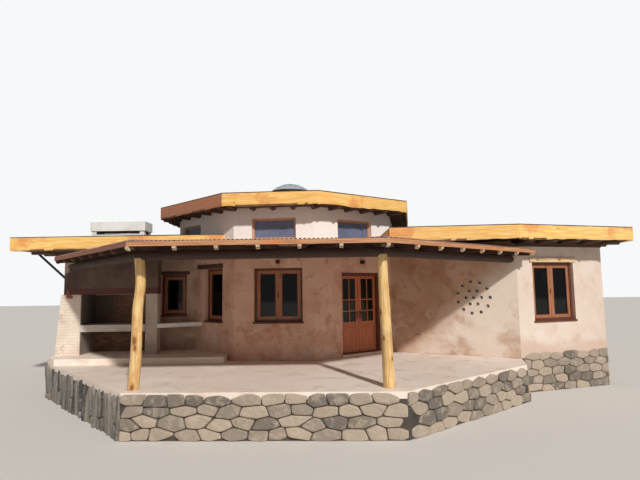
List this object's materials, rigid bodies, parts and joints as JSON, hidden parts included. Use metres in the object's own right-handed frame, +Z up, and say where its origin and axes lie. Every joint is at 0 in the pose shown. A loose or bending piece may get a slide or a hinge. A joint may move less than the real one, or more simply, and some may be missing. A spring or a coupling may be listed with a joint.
{
  "type": "adobe house",
  "caption": "Single-storey adobe house: tall eight-sided hall with clerestory and skylight, two flat-roofed wings, hipped log porch and an outdoor grill.",
  "frame": {"origin": "on the base plane, under the middle of the house's whole plan", "axes": "+Z up, the porch and front door face -Y, +X to the right seen from the front"},
  "size_m": [15.92, 10.9366, 5.85],
  "materials": {
    "hall_plaster": "matt lime and clay plaster",
    "clay_plaster": "matt clay plaster, stained",
    "wing_plaster": "matt clay plaster",
    "slate": "rough slate",
    "concrete": "smooth concrete",
    "grill_masonry": "thin wash over brick",
    "lime_wash": "white lime wash",
    "pine": "varnished pine boards",
    "log": "varnished peeled logs",
    "red_wood": "varnished reddish hardwood",
    "roof_skin": "dull roofing membrane",
    "sheet_metal": "weathered corrugated sheet",
    "dark_metal": "matt black",
    "clear_glass": "clear",
    "dome_glass": "clouded",
    "bottle_glass": "dark green"
  },
  "bodies": {
    "house": {"patio_slab": "concrete", "patio_wall": "slate", "floors": "concrete", "door_step": "concrete", "hall_wall_front_left": "clay_plaster", "hall_wall_front": "clay_plaster", "door_wall_left": "clay_plaster", "door_wall_right": "clay_plaster", "door_wall_top": "clay_plaster", "hall_wall_right": "hall_plaster", "hall_wall_back_right": "hall_plaster", "hall_wall_back": "hall_plaster", "hall_wall_back_left": "hall_plaster", "hall_wall_left": "hall_plaster", "bottle_wall": "clay_plaster", "right_front_wall": "wing_plaster", "right_side_wall": "wing_plaster", "right_back_wall": "wing_plaster", "left_front_wall": "wing_plaster", "left_side_wall": "wing_plaster", "left_back_wall": "wing_plaster", "wall_bottles": "bottle_glass", "hall_roof": "roof_skin", "hall_fascia": "pine", "skylight_curb": "dark_metal", "skylight_dome": "dome_glass", "left_roof": "roof_skin", "left_fascia": "pine", "right_roof": "roof_skin", "right_fascia": "pine", "porch_sheet": "sheet_metal", "porch_rafters": "log", "porch_eave_board": "pine", "porch_beam": "log", "left_post": "log", "right_post": "log", "ground_window_frames": "red_wood", "ground_window_glass": "clear_glass", "clerestory_frames": "red_wood", "clerestory_glass": "clear_glass", "right_window_lintel": "pine", "door_frame": "red_wood", "grill_ledge": "concrete", "grill_left_pier": "grill_masonry", "grill_right_pier": "grill_masonry", "grill_counter": "concrete", "side_counter": "concrete", "grill_lintel": "red_wood", "grill_hood": "grill_masonry", "chimney": "lime_wash", "chimney_cap": "lime_wash", "roof_strut": "dark_metal", "wall_lamps": "dark_metal"},
    "left_leaf": {"left_door_leaf": "red_wood", "left_door_leaf_glass": "clear_glass"},
    "right_leaf": {"right_door_leaf": "red_wood", "right_door_leaf_glass": "clear_glass"}
  },
  "joints": [
    {"name": "left_door_hinge", "type": "hinge", "parent": "house", "child": "left_leaf", "pos_m": [0.44342, -0.90071, 1.85], "axis": [0, 0, 1], "range_deg": [0, 90]},
    {"name": "right_door_hinge", "type": "hinge", "parent": "house", "child": "right_leaf", "pos_m": [1.43377, -0.20725, 1.85], "axis": [0, 0, -1], "range_deg": [0, 90]}
  ]
}
